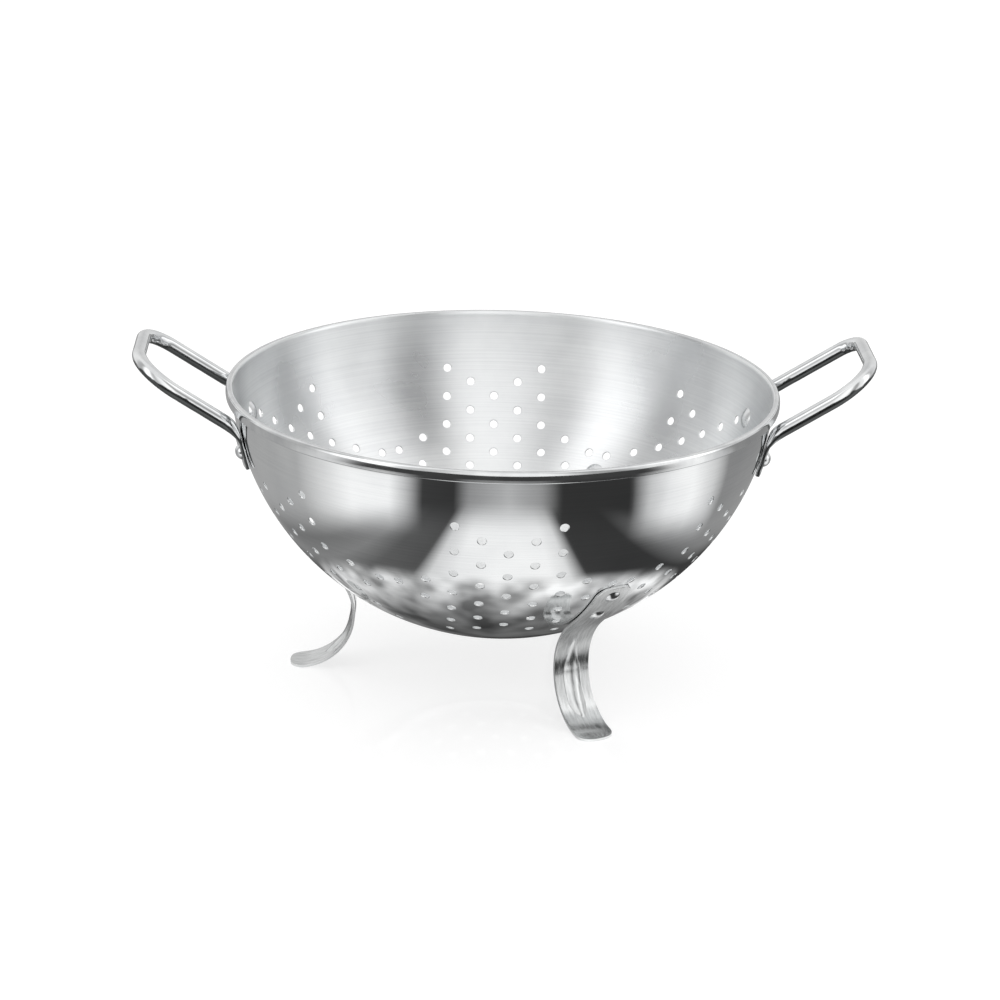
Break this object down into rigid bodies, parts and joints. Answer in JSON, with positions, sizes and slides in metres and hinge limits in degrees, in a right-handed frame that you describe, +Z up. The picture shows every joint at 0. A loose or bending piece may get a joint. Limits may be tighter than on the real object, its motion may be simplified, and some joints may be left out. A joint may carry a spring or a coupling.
{
  "type": "colander",
  "caption": "Footed metal colander: round perforated bowl with a rolled rim, riveted tube loop handles at the sides and riveted ribbed strip legs.",
  "frame": {"origin": "centre of the ground plane under the bowl's axis, at the height of the feet's undersides", "axes": "+Z up along the bowl's axis, +X through the right handle, +Y towards the rear"},
  "size_m": [0.428, 0.32, 0.2004],
  "materials": {
    "bowl_steel": "spun and polished, fine brushed lines round the inside",
    "handle_steel": "polished tube",
    "leg_steel": "satin strip",
    "rivet_steel": "polished heads"
  },
  "bodies": {
    "root": {"bowl": "bowl_steel", "right_handle": "handle_steel", "left_handle": "handle_steel", "front_right_leg": "leg_steel", "rear_right_leg": "leg_steel", "left_leg": "leg_steel", "handle_rivets": "rivet_steel", "leg_rivets": "rivet_steel"}
  },
  "joints": []
}
